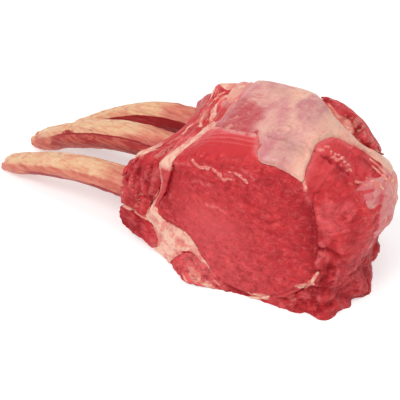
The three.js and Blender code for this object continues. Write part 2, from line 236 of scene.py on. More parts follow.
class RackColours(bpy.types.PropertyGroup):
    """Colours of the meat, fat and bone."""

    muscle: swatch("Muscle", "Fresh cut muscle", (0.74, 0.19, 0.21))
    muscle_bright: swatch("Bright Muscle", "Muscle that has taken up air", (0.79, 0.21, 0.225))
    # Dark Muscle is the muscle's own darker tone, and also painted shade in creases, folds and seams.
    muscle_dark: swatch("Dark Muscle", "Deep creases and darker muscle", (0.57, 0.055, 0.10))
    muscle_pale: swatch("Pale Muscle", "Paler pink muscle", (0.86, 0.38, 0.39))
    fat: swatch("Fat", "Cream fat", (0.90, 0.72, 0.635))
    fat_pink: swatch("Pink Fat", "Fat with blood in it", (0.86, 0.48, 0.43))
    silverskin: swatch("Silverskin", "Pink silverskin", (0.79, 0.49, 0.505))
    mauve: swatch("Mauve", "Silverskin with dark meat under it", (0.71, 0.30, 0.325))
    # The colour of the highlights painted on the glint threads.
    glint: swatch("Painted Glint", "Wet threads and lumps of fat", (0.93, 0.70, 0.69))
    bone: swatch("Bone", "Scraped rib bone", (0.865, 0.695, 0.54))
    bone_pink: swatch("Pink Bone", "Streaks and undersides of the bones", (0.82, 0.48, 0.39))
    bone_cream: swatch("Cream Bone", "Dry patches on the bones", (0.90, 0.78, 0.64))
    bone_red: swatch("Bone Membrane", "Red membrane left on the sides of the bones", (0.66, 0.17, 0.17))
    floor: swatch("Floor", "Studio floor", (0.84, 0.84, 0.84))


# ---- Noise on arrays of points ----

# Large odd numbers that mix a cell and a seed.
CELL_STEPS = (374761393, 668265263, 1440662683)
SEED_STEP, MIX_STEP = 974634777, 1274126177


def lattice(cells, seed):
    """A repeatable number from -1 to 1 for each cell."""
    mixed = cells @ np.array(CELL_STEPS) + seed * SEED_STEP
    mixed = (mixed ^ (mixed >> 13)) * MIX_STEP & 0xFFFFFFFF
    mixed = (mixed ^ (mixed >> 16)) & 0xFFFF
    return mixed / 32767.5 - 1


def noise(points, size, seed):
    """Smooth noise from -1 to 1. Size is the size of its lumps, alike or by axis."""
    scaled = points / np.asarray(size, float)
    cell = np.floor(scaled).astype(np.int64)
    part = scaled - cell
    blend = part * part * part * (part * (part * 6 - 15) + 10)
    total = np.zeros(len(points))
    for corner in np.ndindex(2, 2, 2):
        weight = np.prod(np.where(corner, blend, 1 - blend), axis=1)
        total += weight * lattice(cell + np.array(corner), seed)
    return total


def layered(points, size, seed, layers=3):
    """Noise with finer and finer noise on top."""
    total, share, full = 0, 1.0, 0.0
    for layer in range(layers):
        total = total + share * noise(points, np.asarray(size, float) / 2**layer, seed + layer)
        full += share
        share *= 0.5
    return total / full


def ridged(points, size, seed):
    """1 along winding ridges and 0 between them."""
    return 1 - np.minimum(1, 3 * np.abs(noise(points, size, seed)))


def ease(value, low, high):
    """0 below low, 1 above high and smooth between. Low may be the larger."""
    share = np.clip((value - low) / (high - low), 0, 1)
    return share * share * (3 - 2 * share)


def bell(value, middle, reach):
    return np.exp(-(((value - middle) / reach) ** 2))


def dappled(points, size, seed, low, high):
    """1 in patches where a noise is past high, and 0 where it is short of low."""
    return ease(noise(points, size, seed), low, high)


def mound(points, middle, reach):
    """1 at a place, and less and less away from it."""
    return np.exp(-np.sum(((points - middle) / reach) ** 2, axis=1))


def line_distance(points, line, ways=None):
    """How far points are from a line of straight stretches. Height over it, along ways, hardly counts."""
    best = np.full(len(points), 1e9)
    for start, end in zip(line, line[1:]):
        start, end = np.asarray(start, float), np.asarray(end, float)
        run = end - start
        share = np.clip((points - start) @ run / (run @ run), 0, 1)
        away = points - start - share[:, None] * run
        if ways is not None:
            away = away - HEIGHT_SPARED * np.sum(away * ways, axis=1)[:, None] * ways
        best = np.minimum(best, np.linalg.norm(away, axis=1))
    return best


# ---- Fine copies of the frame's solids ----


def near_face(x, z):
    """Y of the near cut face."""
    bow = np.where(x < FACE_MIDDLE, NEAR_BOW, CHINE_BOW)
    return NEAR_LEAN * z + bow * (x - FACE_MIDDLE) ** 2 - 4 * bell(x, 8, 24) * bell(z, 0, 13)


def far_face(x, z):
    """Y of the far cut face."""
    return RACK_DEPTH - FAR_LEAN * z - FAR_BOW * (x - FACE_MIDDLE) ** 2


def strands(surface, lines, width, wiggle, seed):
    """1 on threads that lie on the surface along lines, with uneven sides. An (x, z) is on the near face."""
    uneven = wiggle * noise(surface.points, 2.2, seed)
    found = np.zeros(len(surface.points))
    for line in lines:
        if len(line[0]) == 2:
            line = [(x, float(near_face(x, z)) + 1, z) for x, z in line]
        away = line_distance(surface.points, line, surface.outward)
        found = np.maximum(found, bell(away + uneven, 0, width))
    return found


class Surface:
    """The points of a fine mesh, in millimetres of the sections, and their normals."""

    def __init__(self, obj, node):
        mesh = obj.data
        count = len(mesh.vertices)
        flat = np.empty(count * 3)
        mesh.vertices.foreach_get("co", flat)
        self.obj, self.node = obj, node
        self.start = self.points = flat.reshape(-1, 3) / MM - SECTION_ORIGIN
        normals = np.empty(count * 3)
        mesh.vertex_normals.foreach_get("vector", normals)
        self.normals = normals.reshape(-1, 3)
        self.x, self.y, self.z = self.start.T
        self.section = self.start[:, (0, 2)]
        self.depth = self.y - near_face(self.x, self.z)
        self.back = far_face(self.x, self.z) - self.y
        self.face, self.behind = ease(self.depth, *FACE_DEPTH), ease(self.back, *FACE_DEPTH)
        self.outward = self.ways_out()

    def ways_out(self):
        """The way out of the rack: forwards at the near face, back at the far one, aside between."""
        aside = (self.points - SECTION_CENTRE) * (1, 0, 1)
        aside /= np.linalg.norm(aside, axis=1)[:, None]
        near, far = (ease(deep, *TURN_DEPTH)[:, None] for deep in (self.depth, self.back))
        way = aside * (1 - near) * (1 - far) + near * np.array((0, -1, 0.2)) + far * np.array((0, 1, 0))
        return way / np.linalg.norm(way, axis=1)[:, None]

    def wavy(self, reach, seed):
        """X, Y and Z pushed about by noise, so that the edges of what is painted by them wind."""
        return [axis + reach * noise(self.points, 8, seed + step) for step, axis in enumerate(self.points.T)]

    def slanted(self, by_x, by_y):
        """The first points with Z sheared by X and by Y, for marks that slant."""
        return np.column_stack((self.x, self.y, self.z + by_x * self.x + by_y * self.y))

    def gap(self, node):
        """How far each point is from another solid of the frame, in millimetres."""
        form = bmesh.new()
        form.from_mesh(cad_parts[node].data)
        tree = BVHTree.FromBMesh(form)
        form.free()
        places = (self.points + SECTION_ORIGIN) * MM
        return np.array([tree.find_nearest(place)[3] for place in places]) / MM

    def rim_distance(self):
        """How far the points of a thin sheet are from its edge, in millimetres."""
        across = np.abs(np.sum(self.normals * self.outward, axis=1))
        rim = self.points[across < RIM_SLOPE]
        tree = kdtree.KDTree(len(rim))
        for index, place in enumerate(rim):
            tree.insert(place, index)
        tree.balance()
        return np.array([tree.find(place)[2] for place in self.points])

    def move(self, offset, ways=None):
        """Moves the points by so many millimetres, along their normals or along other ways."""
        ways = self.normals if ways is None else ways
        relief = bpy.context.scene.rack_sizes.relief
        self.points = self.points + offset[:, None] * ways * relief
        self.points[:, 2] = np.maximum(self.points[:, 2], 0)
        world = (self.points + SECTION_ORIGIN) * MM
        self.obj.data.vertices.foreach_set("co", world.ravel())
        self.obj.data.update()

    def paint(self, **looks):
        """Keeps a share from 0 to 1 at each point, for the materials."""
        for name, share in looks.items():
            attribute = self.obj.data.attributes.new(name, "FLOAT", "POINT")
            attribute.data.foreach_set("value", np.clip(share, 0, 1).astype(np.float32))


def fine_copy(node, smoothing, coarser=1.0, grain="fine_grain"):
    """An evenly meshed copy of a solid of the frame, with its creases softened."""
    sizes = bpy.context.scene.rack_sizes
    form = bmesh.new()
    form.from_mesh(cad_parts[node].data)
    bmesh.ops.remove_doubles(form, verts=form.verts, dist=WELD * MM)
    mesh = bpy.data.meshes.new(node + "_look")
    form.to_mesh(mesh)
    form.free()
    obj = bpy.data.objects.new(node + "_look", mesh)
    bpy.context.collection.objects.link(obj)
    remesh = obj.modifiers.new("Even mesh", "REMESH")
    remesh.mode = "VOXEL"
    remesh.voxel_size = getattr(sizes, grain) * coarser
    evaluated = obj.evaluated_get(bpy.context.evaluated_depsgraph_get())
    even = bpy.data.meshes.new_from_object(evaluated)
    obj.modifiers.clear()
    form = bmesh.new()
    form.from_mesh(even)
    for _ in range(smoothing):
        bmesh.ops.smooth_vert(
            form, verts=form.verts, factor=0.5, use_axis_x=True, use_axis_y=True, use_axis_z=True
        )
    form.normal_update()
    for vert in form.verts:
        vert.co += vert.normal * sizes.swell
    for face in form.faces:
        face.smooth = True
    form.to_mesh(mesh)
    form.free()
    bpy.data.meshes.remove(even)
    mesh.name = node + "_look"
    return Surface(obj, node)


def finish_piece(surface, material):
    obj, node = surface.obj, surface.node
    obj.data.materials.clear()
    obj.data.materials.append(material)
    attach(obj, "root")
    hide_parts(node)


# ---- Materials ----


def linear(colour):
    """The colour that a shader takes for one that is seen on a screen."""
    return [c / 12.92 if c <= 0.04045 else ((c + 0.055) / 1.055) ** 2.4 for c in colour] + [1.0]


def colours_of(*names):
    return [linear(getattr(bpy.context.scene.rack_colours, name)) for name in names]


class Nodes:
    """Builds one material's nodes."""

    def __init__(self, name):
        self.material = bpy.data.materials.new(name)
        self.material.use_nodes = True
        self.tree = self.material.node_tree
        self.tree.nodes.clear()
        self.colour = None
        self.place = self.add("ShaderNodeTexCoord").outputs["Object"]

    def add(self, kind, sockets=None, **settings):
        node = self.tree.nodes.new(kind)
        for key, value in settings.items():
            setattr(node, key, value)
        for key, value in (sockets or {}).items():
            if isinstance(value, bpy.types.NodeSocket):
                self.tree.links.new(value, node.inputs[key])
            else:
                node.inputs[key].default_value = value
        return node

    def bent(self, size, amount):
        """Object places that a noise pushes about, both in millimetres."""
        sockets = {"Vector": self.place, "Scale": 1 / (size * MM), "Detail": 2.0}
        push = self.add("ShaderNodeTexNoise", sockets)
        centred = self.vector("SUBTRACT", {0: push.outputs["Color"], 1: (0.5, 0.5, 0.5)})
        shift = self.vector("SCALE", {0: centred, "Scale": amount * MM * 2})
        return self.vector("ADD", {0: self.place, 1: shift})

    def vector(self, operation, sockets):
        return self.add("ShaderNodeVectorMath", sockets, operation=operation).outputs[0]

    def stretched(self, place, across, along, up):
        """Places for a pattern whose marks are so many millimetres long by axis."""
        scale = [1 / (size * MM) for size in (across, along, up)]
        return self.add("ShaderNodeMapping", {"Vector": place, "Scale": scale}).outputs[0]

    def tilted(self, place, angle):
        """Places turned about Y by so many degrees."""
        turn = (0, math.radians(angle), 0)
        return self.add("ShaderNodeMapping", {"Vector": place, "Rotation": turn}).outputs[0]

    def marks(self, place, across, along, up, detail=3.0, roughness=0.55, distortion=0.0):
        """Noise whose marks are so many millimetres long by axis."""
        sockets = {"Detail": detail, "Roughness": roughness, "Distortion": distortion, "Scale": 1.0}
        sockets["Vector"] = self.stretched(place, across, along, up)
        return self.add("ShaderNodeTexNoise", sockets).outputs["Fac"]

    def spots(self, size, detail=3.0, distortion=0.0):
        """Noise with marks of so many millimetres, the same all ways."""
        return self.marks(self.place, size, size, size, detail, distortion=distortion)

    def bundles(self, place):
        """A shade for each bundle of fibres, and how far in from its edge a point is."""
        cells = self.add("ShaderNodeTexVoronoi", {"Vector": place, "Scale": 1.0})
        edges = self.add("ShaderNodeTexVoronoi", {"Vector": place, "Scale": 1.0}, feature="DISTANCE_TO_EDGE")
        shade = self.add("ShaderNodeSeparateColor", {"Color": cells.outputs["Color"]}).outputs[0]
        return shade, edges.outputs["Distance"]

    def ramp(self, value, low, high, first=0.0, last=1.0, way="LINEAR"):
        """First at low and last at high."""
        sockets = {"Value": value, "From Min": low, "From Max": high, "To Min": first, "To Max": last}
        return self.add("ShaderNodeMapRange", sockets, interpolation_type=way).outputs[0]

    def share(self, value, low, high):
        """0 at low, 1 at high, smooth between."""
        return self.ramp(value, low, high, way="SMOOTHSTEP")

    def between(self, value, low, high):
        """Maps a share from 0 to 1 to a value from low to high."""
        return self.ramp(value, 0, 1, low, high)

    def swap(self, share, first, second):
        """One value in place of another, by a share."""
        return self.maths("MULTIPLY_ADD", share, self.maths("SUBTRACT", second, first), first)

    def maths(self, operation, first, second, third=0.0):
        return self.add("ShaderNodeMath", {0: first, 1: second, 2: third}, operation=operation).outputs[0]

    def times(self, first, second):
        return self.maths("MULTIPLY", first, second)

    def painted(self, name):
        return self.add("ShaderNodeAttribute", attribute_name=name).outputs["Fac"]

    def mix(self, share, first, second):
        return self.add("ShaderNodeMix", {0: share, 6: first, 7: second}, data_type="RGBA").outputs[2]

    def tint(self, colour, other, pattern, low, high, amount=None):
        """A colour with another over it, by an amount, where a pattern is past low towards high."""
        share = self.share(pattern, low, high)
        return self.mix(self.times(share, amount) if amount else share, colour, other)

    def cover(self, share, other):
        """Lays a colour over the one so far, by a share."""
        self.colour = self.mix(share, self.colour, other)

    def touch(self, other, pattern, low, high, amount=None):
        """Lays a colour over the one so far, by an amount, where a pattern is past low towards high."""
        self.colour = self.tint(self.colour, other, pattern, low, high, amount)

    def layer(self, other, name, by, low=0.35, high=0.65, amount=0.6):
        """Lays a colour over the one so far where it is painted, with an edge that a noise breaks up."""
        painted = self.painted(name)
        shifted = self.maths("ADD", painted, self.maths("MULTIPLY_ADD", by, amount, -amount / 2))
        self.cover(self.times(self.share(shifted, low, high), self.share(painted, 0.0, 0.12)), other)

    def shade(self, pattern, darkest, lightest, low=0.3, high=0.7):
        """Makes the colour so far darker and lighter by a pattern."""
        level = self.ramp(pattern, low, high, darkest, lightest)
        self.colour = self.vector("SCALE", {0: self.colour, "Scale": level})

    def bump(self, height, distance, under=None):
        sockets = {"Height": height, "Distance": distance * MM, "Strength": 1.0}
        if under:
            sockets["Normal"] = under
        return self.add("ShaderNodeBump", sockets).outputs[0]

    def surface(self, roughness, normal, under=0, radius=(1, 1, 1), coat=0, dull=0.2, shine=0.35, glow=0):
        """Ends the material. Dull is the roughness of its coat."""
        sockets = {
            "Base Color": self.colour,
            "Roughness": roughness,
            "Normal": normal,
            "Subsurface Weight": under,
            "Subsurface Radius": [r * MM for r in radius],
            "Subsurface Scale": 1.0,
            "Coat Weight": coat,
            "Coat Roughness": dull,
            "Specular IOR Level": shine,
            "Emission Color": (1, 1, 1, 1),
            "Emission Strength": glow,
        }
        shader = self.add("ShaderNodeBsdfPrincipled", sockets)
        self.add("ShaderNodeOutputMaterial", {"Surface": shader.outputs[0]})
        return self.material


def raw_muscle():
    """Raw meat: bundles of fibres that run back through the rack, mottled, moist and marbled."""
    made = bpy.data.materials.get("raw_muscle")
    if made:
        return made
    base, bright, dark, pale = colours_of("muscle", "muscle_bright", "muscle_dark", "muscle_pale")
    fat, pink, skin, glint = colours_of("fat", "fat_pink", "silverskin", "glint")
    n = Nodes("raw_muscle")
    bent = n.bent(5, 2.5)
    shade, edge = n.bundles(n.stretched(bent, 2.3, 14, 1.9))
    grain = n.marks(n.place, 1.0, 8, 1.0, 4, 0.65)
    waves = n.marks(bent, 7, 9, 1.7, 3, distortion=0.6)
    blotches = n.spots(18)
    patches = n.spots(6, 3, 0.5)
    streaks = n.marks(bent, 2.6, 24, 2.6, 3)
    lumps = n.marks(bent, 3.4, 7, 2.4, 2, 0.5, 0.4)
    # Torn meat has marks that run all ways.
    torn = n.painted("torn")
    waves = n.swap(torn, waves, n.spots(4.5, 3, 0.6))
    lumps = n.swap(torn, lumps, n.spots(3.6, 2, 0.8))
    grain = n.swap(torn, grain, n.spots(1.3, 3))
    # The tone of the muscle, from place to place. The pale and dark paint also carry painted light and
    # painted shade.
    n.colour = n.tint(base, bright, blotches, 0.4, 0.62, 0.5)
    n.cover(n.painted("bright"), bright)
    n.cover(n.painted("pale"), pale)
    n.cover(n.times(n.painted("dark"), n.between(n.share(patches, 0.3, 0.6), 0.6, 1.0)), dark)
    tone = n.colour
    # The bundles, the fine grain and the marbling that all of it has.
    n.touch(dark, lumps, 0.46, 0.34, 0.45)
    n.touch(pale, lumps, 0.54, 0.68, 0.32)
    n.shade(patches, 0.86, 1.13)
    n.shade(shade, 0.88, 1.08, 0.0, 1.0)
    n.shade(grain, 0.87, 1.13)
    n.touch(pale, waves, 0.55, 0.7, 0.14)
    off = n.maths("ABSOLUTE", n.maths("SUBTRACT", waves, 0.5), 0.0)
    marbled = n.times(n.share(off, 0.02, 0.0), n.share(patches, 0.52, 0.62))
    n.cover(n.times(marbled, 0.4), pink)
    n.cover(n.painted("soft"), tone)
    # What lies on it: skin, streaks of fat and fat.
    bands = n.marks(bent, 5, 18, 2.6, 3, distortion=0.4)
    skinny = n.tint(n.mix(0.6, pale, skin), n.mix(0.4, skin, n.mix(0.5, pink, fat)), bands, 0.44, 0.56)
    skinny = n.tint(skinny, base, bands, 0.42, 0.34, 0.6)
    skinny = n.tint(skinny, fat, patches, 0.57, 0.68, 0.4)
    n.layer(skinny, "skin", streaks)
    streaky = n.times(n.painted("streaks"), n.share(streaks, 0.53, 0.6))
    n.cover(streaky, n.tint(fat, pink, grain, 0.4, 0.6))
    fatty = n.tint(fat, pink, waves, 0.35, 0.6)
    n.layer(fatty, "fat", waves, 0.4, 0.6, 0.5)
    # Specks of wet fat, and highlights painted on the glint threads.
    slanting = n.marks(n.tilted(bent, 28), 3.4, 3, 1.3, 2)
    specks = n.times(n.painted("specks"), n.share(slanting, 0.56, 0.62))
    n.cover(n.times(specks, 0.8), pink)
    wet = n.share(n.painted("wet"), 0.3, 0.65)
    n.cover(n.times(wet, 0.85), n.tint(glint, pink, grain, 0.66, 0.48))
    rough = n.between(n.share(waves, 0.3, 0.7), 0.6, 0.4)
    normal = n.bump(waves, 0.7)
    normal = n.bump(n.share(edge, 0.0, 0.25), 0.1, normal)
    normal = n.bump(n.maths("ADD", lumps, specks), 0.5, normal)
    normal = n.bump(grain, 0.2, normal)
    return n.surface(rough, normal, 0.2, (2.0, 0.5, 0.4), 0.04, shine=0.12)


def soft_fat():
    """Soft cream fat with pink patches, and meat that breaks through it."""
    fat, pink, mauve, cream = colours_of("fat", "fat_pink", "mauve", "bone_cream")
    base, bright, dark, pale = colours_of("muscle", "muscle_bright", "muscle_dark", "muscle_pale")
    n = Nodes("soft_fat")
    bent = n.bent(6, 3)
    grain = n.marks(n.place, 1.2, 2.4, 1.2, 4)
    patches = n.marks(bent, 5, 9, 5, 4)
    streaks = n.marks(bent, 2.4, 22, 2.4, 3)
    n.colour = n.tint(fat, pink, patches, 0.46, 0.66)
    n.touch(n.mix(0.5, pink, pale), streaks, 0.52, 0.64, 0.5)
    rosy = n.tint(n.mix(0.5, pink, pale), mauve, streaks, 0.56, 0.42)
    rosy = n.tint(rosy, fat, grain, 0.55, 0.7, 0.5)
    n.cover(n.times(n.painted("rosy"), 0.9), rosy)
    n.touch(cream, grain, 0.58, 0.7, 0.25)
    meaty = n.tint(base, bright, grain, 0.35, 0.65)
    meaty = n.tint(meaty, dark, streaks, 0.5, 0.35, 0.7)
    n.layer(meaty, "meat", streaks, 0.38, 0.58, 0.9)
    rough = n.between(n.share(patches, 0.3, 0.7), 0.4, 0.55)
    normal = n.bump(grain, 0.3, n.bump(patches, 0.7))
    return n.surface(rough, normal, 0.35, (2.2, 1.2, 0.9), 0.12, 0.25)


def wet_silverskin():
    """A thin pink skin in patches of mauve and cream, with the red meat showing through."""
    skin, fat, pink, mauve, cream = colours_of("silverskin", "fat", "fat_pink", "mauve", "bone_cream")
    base, bright, pale = colours_of("muscle", "muscle_bright", "muscle_pale")
    n = Nodes("wet_silverskin")
    bent = n.bent(9, 5)
    long_patches = n.marks(bent, 9, 30, 12, 2, 0.45)
    cross_lines = n.marks(bent, 16, 2.0, 5, 3)
    threads = n.marks(bent, 1.2, 14, 2, 3)
    grain = n.spots(1.4, 4)
    n.colour = n.tint(skin, n.mix(0.55, skin, fat), long_patches, 0.32, 0.68)
    n.touch(n.mix(0.6, skin, pale), cross_lines, 0.5, 0.7, 0.25)
    n.touch(fat, threads, 0.56, 0.7, 0.3)
    fine_lines = n.marks(bent, 3.2, 7, 6, 3)
    through = n.tint(n.mix(0.5, mauve, base), n.mix(0.2, mauve, pink), cross_lines, 0.4, 0.6)
    through = n.tint(through, skin, fine_lines, 0.5, 0.66, 0.35)
    n.layer(through, "meat", cross_lines, 0.05, 0.6)
    creamy = n.tint(fat, n.mix(0.35, fat, pink), long_patches, 0.3, 0.7)
    n.layer(creamy, "cream", long_patches, 0.25, 0.75, 0.8)
    meaty = n.tint(base, bright, grain, 0.4, 0.6)
    n.layer(meaty, "bare", long_patches, 0.35, 0.6, 0.7)
    mottles = n.spots(5, 3, 0.5)
    n.touch(n.mix(0.3, fat, cream), mottles, 0.56, 0.68, 0.35)
    n.touch(n.mix(0.45, skin, mauve), mottles, 0.44, 0.32, 0.4)
    n.shade(grain, 0.93, 1.07)
    n.shade(n.painted("shade"), 1.0, 0.78, 0.0, 1.0)
    rough = n.between(n.share(long_patches, 0.3, 0.7), 0.32, 0.46)
    normal = n.bump(threads, 0.3, n.bump(cross_lines, 0.35))
    return n.surface(rough, normal, 0.3, (2.2, 1.0, 0.8), 0.18, 0.2)


def scraped_bone():
    """Scraped bone with streaks along it, and red membrane left on its sides."""
    bone, pink, cream, red, dark = colours_of("bone", "bone_pink", "bone_cream", "bone_red", "muscle_dark")
    n = Nodes("scraped_bone")
    bent = n.bent(8, 2)
    streaks = n.marks(bent, 26, 2.6, 2.6, 4)
    scrapes = n.marks(bent, 12, 0.9, 0.9, 3)
    patches = n.marks(bent, 16, 6, 6, 3)
    n.colour = n.tint(bone, pink, streaks, 0.48, 0.62, 0.6)
    n.touch(cream, patches, 0.52, 0.66, 0.75)
    n.touch(pink, scrapes, 0.56, 0.7, 0.55)
    n.touch(cream, scrapes, 0.42, 0.3, 0.4)
    flushed = n.tint(pink, n.mix(0.5, pink, red), streaks, 0.35, 0.65)
    n.layer(flushed, "flush", patches, 0.1, 0.9, 0.8)
    membrane = n.tint(red, n.mix(0.55, red, pink), streaks, 0.42, 0.62)
    n.layer(membrane, "red", streaks, 0.35, 0.6, 0.6)
    # The crease paint: painted shade, in a dark red.
    n.layer(n.mix(0.75, red, dark), "crease", scrapes, 0.3, 0.7, 0.8)
    n.shade(n.spots(4, 3), 0.93, 1.07)
    rough = n.between(n.share(streaks, 0.3, 0.7), 0.42, 0.6)
    normal = n.bump(scrapes, 0.25, n.bump(streaks, 0.7))
    return n.surface(rough, normal, 0.15, (1.5, 0.9, 0.6), 0.08, 0.3)


# ---- The pieces ----


def torn_share(s):
    """1 at the torn lower corner of the chine side, and 0 away from it."""
    return ease(s.x, 48, 78) * ease(s.z, 46, 20)


def crag_ridges(p):
    return ridged(p, (16, 20, 12), 8)


def shared_relief(s):
    """Unevenness that neighbours share, so that they stay flush where they meet."""
    p, torn = s.start, torn_share(s)
    smooth = 0.45 * layered(p, 13, 1) + 0.16 * noise(p, 2.8, 4)
    crags = 2.4 * layered(p, (9, 10, 7), 5) - 2.0 * crag_ridges(p) + 0.4 * noise(p, 3, 6)
    corner = 8.0 * bell(s.y, 46, 9) * bell(s.z, 0, 9) + 3.0 * bell(s.y, 14, 12) * bell(s.z, 0, 11)
    crags += 1.0 + (corner - 3.0 * bell(s.y, 73, 14) * bell(s.z, 10, 18)) * ease(s.x, 76, 90)
    foot = 1.5 * bell(s.z, 0, 6) * ease(s.depth, 8, 1) * (1 - bell(s.x, 11, 9)) * ease(s.x, 88, 78)
    return smooth * (1 - torn) + crags * torn - foot


def uneven_copy(node, smoothing, coarser=1.2):
    """A fine copy with the relief that neighbours share."""
    s = fine_copy(node, smoothing, coarser)
    s.move(shared_relief(s), s.outward)
    return s


def fat_patch(s):
    """1 on the streak of fat that runs up beside the cover."""
    away = line_distance(s.points, FAT_PATCH, s.outward) + 0.9 * noise(s.points, 5, 18)
    return bell(away / (2.8 - 1.5 * ease(s.y, 64, 74)), 0, 1)


def shoulder(s):
    """How far the bone side stands out at its far corner, and in beside the first gap."""
    swells = sum(height * mound(s.points, middle, (7, 7, 6)) for middle, height in SHOULDER_SWELLS)
    return swells - 2.6 * mound(s.points, (-46, 13, 51), (5, 7, 6))


def threads(s):
    """The threads along the eye's rim, and the larger ones of the chine window, that carry painted
    highlights.
    """
    fine = strands(s, RIM_GLINT_THREADS, 0.9, 0.7, 101)
    wide = strands(s, GLINTS, 0.85, 0.9, 102) * dappled(s.points, 1.6, 103, -0.8, -0.1)
    return np.maximum(fine, wide)


def vein(s):
    """1 on the vein under the eye."""
    return strands(s, (VEIN,), 1.9, 0.3, 61)


def tip_seam(s):
    """1 on the pale seam below the cover's near tip."""
    return strands(s, (TIP_SEAM,), 1.2, 0.5, 106)


def window_split(s):
    """1 in the broken split along the chine window."""
    return strands(s, (WINDOW_CREASE,), 1.2, 1.3, 105) * dappled(s.points, 3.5, 110, -0.7, 0.1)


def fill(gap, amount):
    """How much a piece stands out close to its neighbour, so that the seam between them closes."""
    return amount * ease(gap, *SEAM_REACH)


def eye_muscle():
    s = fine_copy("eye_muscle", 5, grain="grain")
    p, d = s.start, s.depth
    seam, chine = s.gap("seam_fat"), s.gap("chine_muscle")
    # Creases, sunk into the face and also painted dark: painted shade.
    crease = bell(line_distance(s.section, EYE_CREASE), 0, 2.3) * s.face
    heel = bell(line_distance(s.section, EYE_HEEL_CREASE), 0, 1.5) * s.face
    below = bell(line_distance(s.section, BOTTOM_CREASE), 0, 1.6) * s.face
    vessel, tip, split, wet = vein(s), tip_seam(s), window_split(s), threads(s)
    below_fat = strands(s, (BOTTOM_FAT,), 1.3, 0.8, 108)
    faint = strands(s, FAINT_THREADS, 0.9, 0.7, 104)
    arcs = np.sin(2 * math.pi * (d + 1.5 * noise(p, 16, 17)) / ARC_SPACING)
    arched = arcs * ease(d, 8, 14) * ease(d, 36, 28) * ease(s.z, 60, 68) * ease(s.x, 44, 36)
    x, y = s.wavy(3, 120)[:2]
    dome = 1.1 * bell(s.x, 32, 40) * bell(s.z, 38, 30) * ease(d, 6, 1)
    closing = fill(chine, 0.75 + 0.25 * (1 - s.face)) + fill(s.gap("under_meat"), 0.45)
    closing += fill(seam, 0.45) * (ease(s.z, 62, 66) + ease(s.z, 36, 30))
    folds = 1.6 * crease + 1.1 * heel + 1.2 * split + 1.2 * below
    raised = 0.1 * arched + 0.6 * np.maximum(wet, vessel) + 0.3 * faint
    s.move(shared_relief(s) + dome - folds + raised + closing, s.outward)

    # Paler towards the lower left and the lower middle, and darker towards the right, as the light falls:
    # painted light and painted shade. Darker beside the seams with the fat and the chine: painted shade
    # between the pieces.
    lower_left = bell(s.x, 18, 22) * bell(s.z, 38, 14)
    low = bell(s.x, 30, 34) * bell(s.z, 13, 15)
    right = 0.25 * ease(s.x + 0.35 * s.z, 74, 96)
    seam_shade = 0.65 * ease(chine, 12, 1) * ease(s.z, 28, 44) + 0.35 * ease(chine, 4.5, 0.3)
    right += seam_shade * ease(s.z, 72, 62)
    left = 0.5 * bell(s.x, -11, 7) * bell(s.z, 38, 13)
    left += 0.4 * ease(seam + 1.5 * noise(p, 5, 113), 6.5, 1) * ease(s.z, 32, 40)
    # A dark band under the cover's rim: painted shade.
    rim = bell(line_distance(s.section, DARK_RIM), 0, 2.2) * ease(d, 3, 1)
    band = bell(line_distance(p, COVER_BAND, s.outward) + 0.9 * noise(p, 5, 107), 0, 2.2)
    outer = (1 - s.face) * (1 - s.behind)
    bare = outer * ease(s.z, 55, 66) * ease(s.x, 46, 38)
    cover = s.gap("fat_cover") + 1.2 * noise(p, (7, 4, 7), 109)
    dusk = ease(cover, 5.5, 1.5) * bare
    far_skin = 0.9 * ease(x, 8, 0) * ease(y, 45, 50) * (1 - s.face)
    s.paint(
        pale=(0.46 * lower_left + 0.36 * low) * s.face + 0.9 * tip + 0.8 * faint
        + (0.6 * ease(arched, 0.0, 0.9) + 0.45 * ease(d, 10, 24)) * bare
        + (0.8 * ease(cover, 5, 0.2) + 0.15 * ease(s.x, 52, 60)) * outer,
        bright=0.5 * outer * ease(s.z, 55, 66),
        # Painted shade in the creases, the split, under the rim and beside the seams.
        dark=1.1 * crease + heel + split + below + 0.35 * rim + (left + right) * s.face,
        streaks=0.4 * ease(seam, 7, 1) * (1 - s.face),
        fat=0.9 * ease(seam, 1.6, 0.4) * ease(s.z, 60, 66) + 0.8 * below_fat + 1.3 * vessel
        + fat_patch(s) + 0.7 * tip * ease(s.z, 71, 76) + 0.75 * band * ease(s.x, 20, -6),
        skin=(far_skin + 0.5 * band * ease(s.x, -4, 8) + 0.45 * dusk) * (1 - s.behind),
        soft=0.85 * bare + 0.6 * lower_left * s.face + 0.5 * outer * ease(s.x, 46, 52),
        # Highlights painted on the glint threads.
        wet=wet,
    )
    finish_piece(s, raw_muscle())


